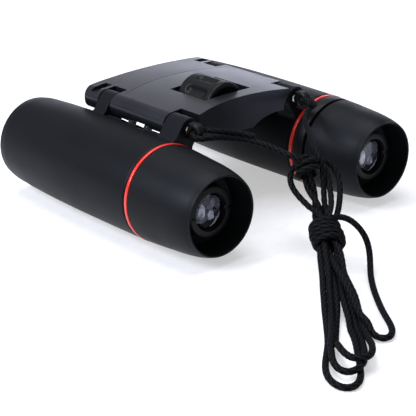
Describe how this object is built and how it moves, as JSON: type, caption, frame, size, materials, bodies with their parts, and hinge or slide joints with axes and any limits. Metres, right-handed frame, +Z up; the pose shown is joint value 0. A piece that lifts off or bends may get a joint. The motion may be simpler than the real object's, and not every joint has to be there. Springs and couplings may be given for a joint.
{
  "type": "compact folding binoculars",
  "caption": "Compact folding roof-prism binoculars with two barrels hinged to a flat bridge, a focus wheel, a dioptre eyepiece and a braided neck cord tied in a hank.",
  "frame": {"origin": "on the surface that the barrels lie on, under the middle of the box of the binoculars without the cord", "axes": "+X across from the left barrel to the right one, +Y from the eyepieces towards the objective lenses along both hinge pins, +Z up through the bridge and the focus wheel"},
  "size_m": [0.1109, 0.1685, 0.0396],
  "materials": {
    "soft_touch_shell": "satin",
    "eyecup_rubber": "matte",
    "red_ring": "gloss",
    "bridge_moulding": "satin",
    "black_plastic": "satin",
    "braided_cord": "matte",
    "optical_glass": "gloss",
    "steel": "satin",
    "brass": "satin"
  },
  "bodies": {
    "bridge": {"bridge_frame": "bridge_moulding", "bridge_lid": "black_plastic", "lid_screw_1": "steel", "lid_screw_2": "steel", "lid_screw_3": "steel", "lid_screw_4": "steel", "left_hinge_pin": "steel", "right_hinge_pin": "steel", "left_strap_lug": "black_plastic", "right_strap_lug": "black_plastic", "strap_lead_left": "braided_cord", "strap_lead_right": "braided_cord", "strap_loop": "braided_cord", "strap_hank": "braided_cord"},
    "focus_wheel": {"focus_wheel": "black_plastic", "focus_screw": "brass"},
    "focus_yoke": {"focus_yoke": "black_plastic"},
    "left_barrel": {"left_barrel": "soft_touch_shell", "left_red_ring": "red_ring", "left_eyepiece_housing": "black_plastic", "left_prism_cage": "black_plastic", "left_rear_prism": "optical_glass", "left_front_prism": "optical_glass", "left_eyecup": "eyecup_rubber", "left_ocular_cell": "black_plastic", "left_ocular_ring": "black_plastic", "left_eye_lens": "optical_glass", "left_field_lens": "optical_glass"},
    "left_objective": {"left_focus_arm": "steel", "left_objective_cell": "black_plastic", "left_objective_lens": "optical_glass", "left_objective_ring": "black_plastic"},
    "right_barrel": {"right_barrel": "soft_touch_shell", "right_red_ring": "red_ring", "right_eyepiece_housing": "black_plastic", "right_prism_cage": "black_plastic", "right_rear_prism": "optical_glass", "right_front_prism": "optical_glass", "right_collar": "black_plastic"},
    "right_ocular": {"right_ocular_cell": "black_plastic", "right_ocular_ring": "black_plastic", "right_eye_lens": "optical_glass", "right_field_lens": "optical_glass"},
    "right_dioptre": {"right_eyecup": "eyecup_rubber"},
    "right_objective": {"right_focus_arm": "steel", "right_objective_cell": "black_plastic", "right_objective_lens": "optical_glass", "right_objective_ring": "black_plastic"}
  },
  "joints": [
    {"name": "left_fold", "type": "hinge", "parent": "bridge", "child": "left_barrel", "pos_m": [-0.0218, 0, 0.0318], "axis": [0, -1, 0], "range_deg": [-8, 49]},
    {"name": "right_fold", "type": "hinge", "parent": "bridge", "child": "right_barrel", "pos_m": [0.0218, 0, 0.0318], "axis": [0, 1, 0], "range_deg": [-8, 49]},
    {"name": "focus_turn", "type": "hinge", "parent": "bridge", "child": "focus_wheel", "pos_m": [0, 0, 0.0324], "axis": [0, 1, 0], "range_deg": [-181, 181]},
    {"name": "focus_yoke_slide", "type": "slide", "parent": "bridge", "child": "focus_yoke", "axis": [0, 1, 0], "range_m": [-0.001, 0.001]},
    {"name": "left_objective_slide", "type": "slide", "parent": "left_barrel", "child": "left_objective", "axis": [0, 1, 0], "range_m": [-0.00101, 0.00101]},
    {"name": "right_objective_slide", "type": "slide", "parent": "right_barrel", "child": "right_objective", "axis": [0, 1, 0], "range_m": [-0.00101, 0.00101]},
    {"name": "right_ocular_slide", "type": "slide", "parent": "right_barrel", "child": "right_ocular", "axis": [0, 1, 0], "range_m": [-0.00121, 0.00071]},
    {"name": "dioptre_turn", "type": "hinge", "parent": "right_ocular", "child": "right_dioptre", "pos_m": [0.03275, 0, 0.0153], "axis": [0, 1, 0], "range_deg": [-144, 84]}
  ],
  "couplings": [
    {"joint": "focus_turn", "follows": "focus_yoke_slide", "rad_per_m": 3141.6},
    {"joint": "left_objective_slide", "follows": "focus_yoke_slide", "ratio": 1},
    {"joint": "right_objective_slide", "follows": "focus_yoke_slide", "ratio": 1},
    {"joint": "right_ocular_slide", "follows": "dioptre_turn", "m_per_rad": 0.00047746}
  ]
}
